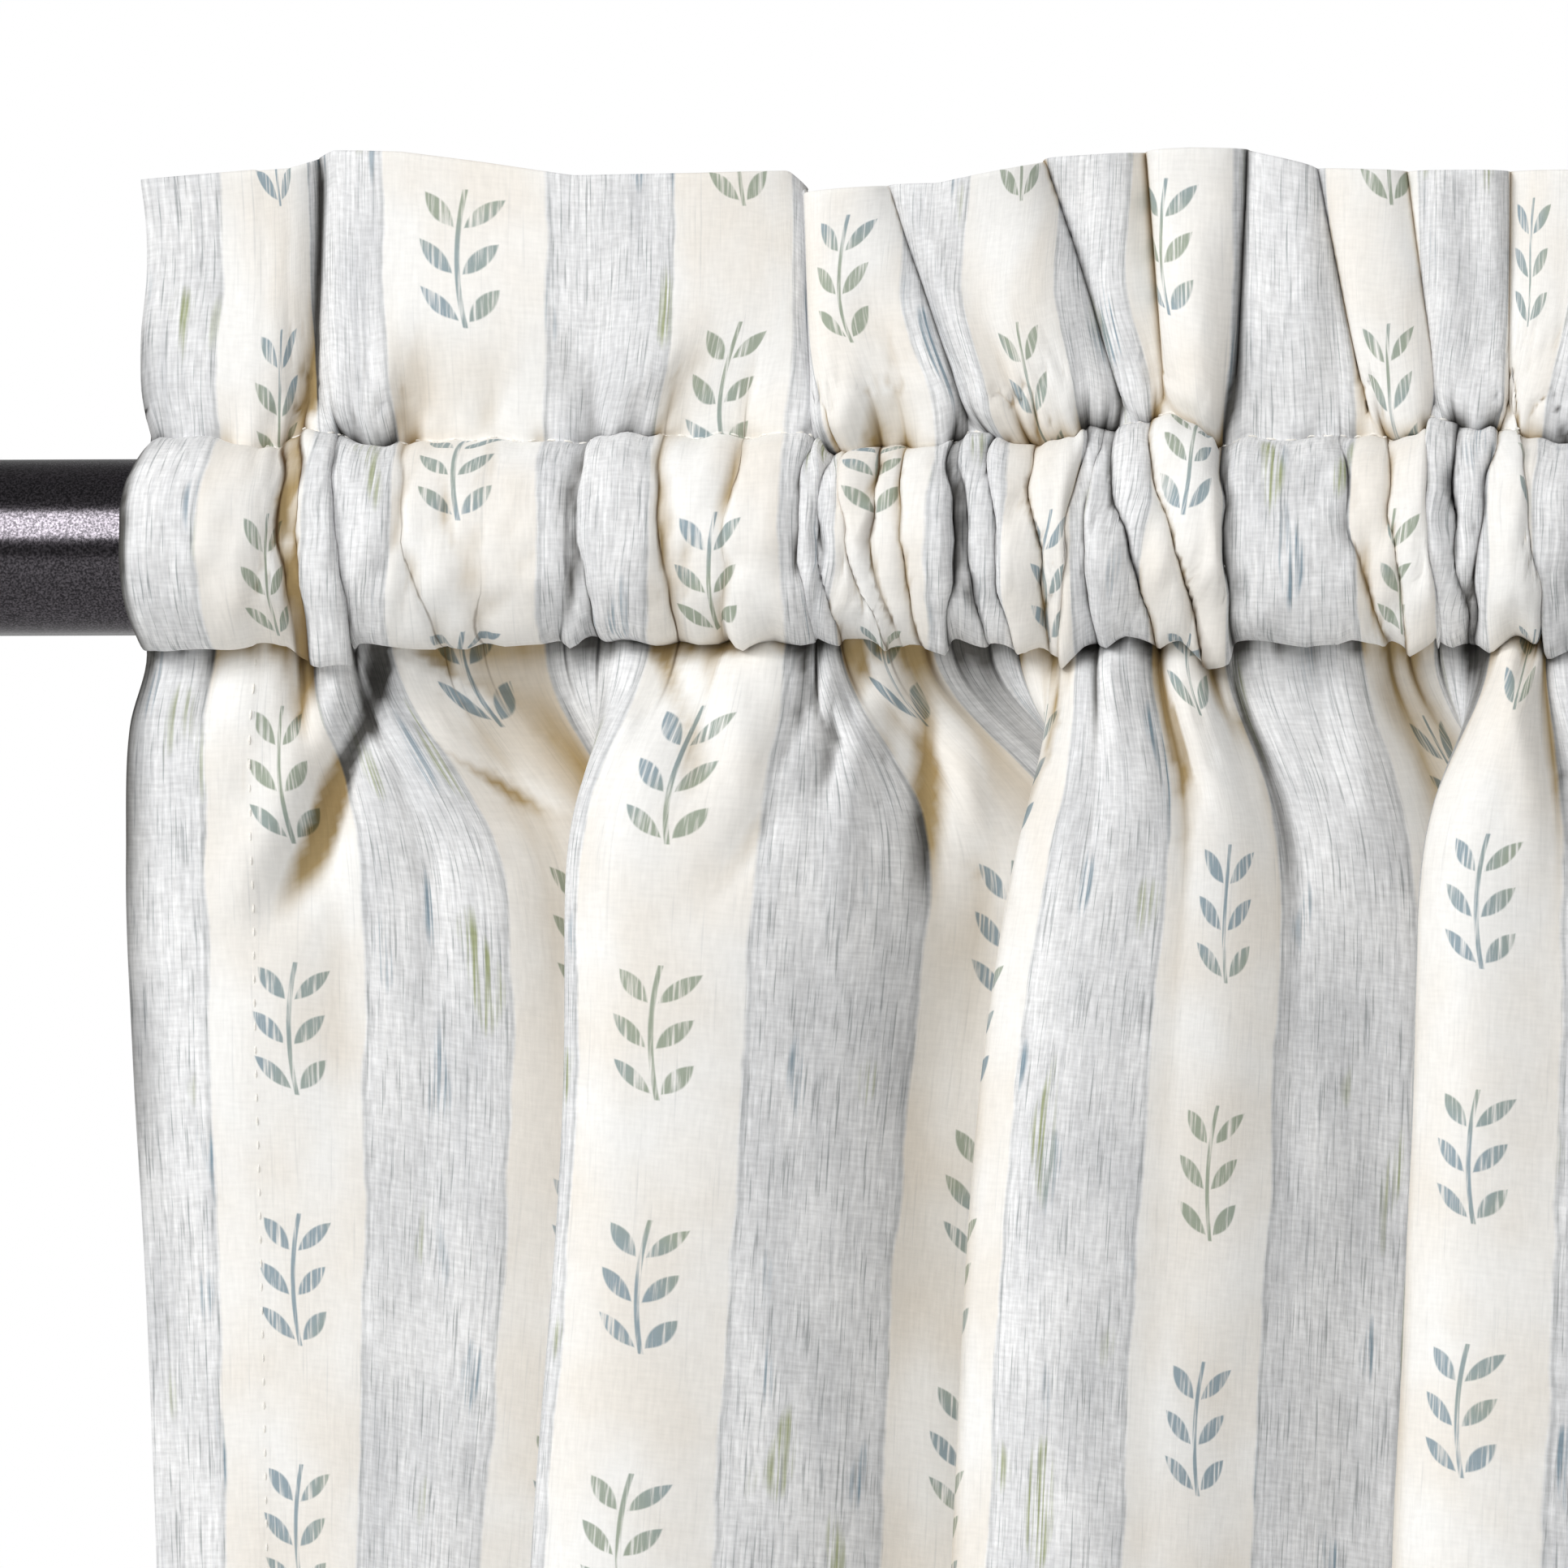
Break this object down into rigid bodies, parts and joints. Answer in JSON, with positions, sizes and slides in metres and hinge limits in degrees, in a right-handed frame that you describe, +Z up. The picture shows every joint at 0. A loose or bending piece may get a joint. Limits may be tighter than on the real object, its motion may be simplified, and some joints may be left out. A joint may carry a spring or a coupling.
{
  "type": "cafe curtain with curtain rod",
  "caption": "Short gathered cotton cafe curtain with a heading above its rod pocket, hanging on a plain round dark rod.",
  "frame": {"origin": "centre of the rod's left end face", "axes": "+X along the rod to the right as seen from the room, -Y towards the room, +Z up"},
  "size_m": [0.744, 0.0363, 0.6148],
  "materials": {
    "cotton_cloth": "matt plain-weave cotton, cream and grey print",
    "powder_coated_rod": "satin black powder coat with a fine grain"
  },
  "bodies": {
    "root": {"curtain": "cotton_cloth", "rod": "powder_coated_rod"}
  },
  "joints": []
}
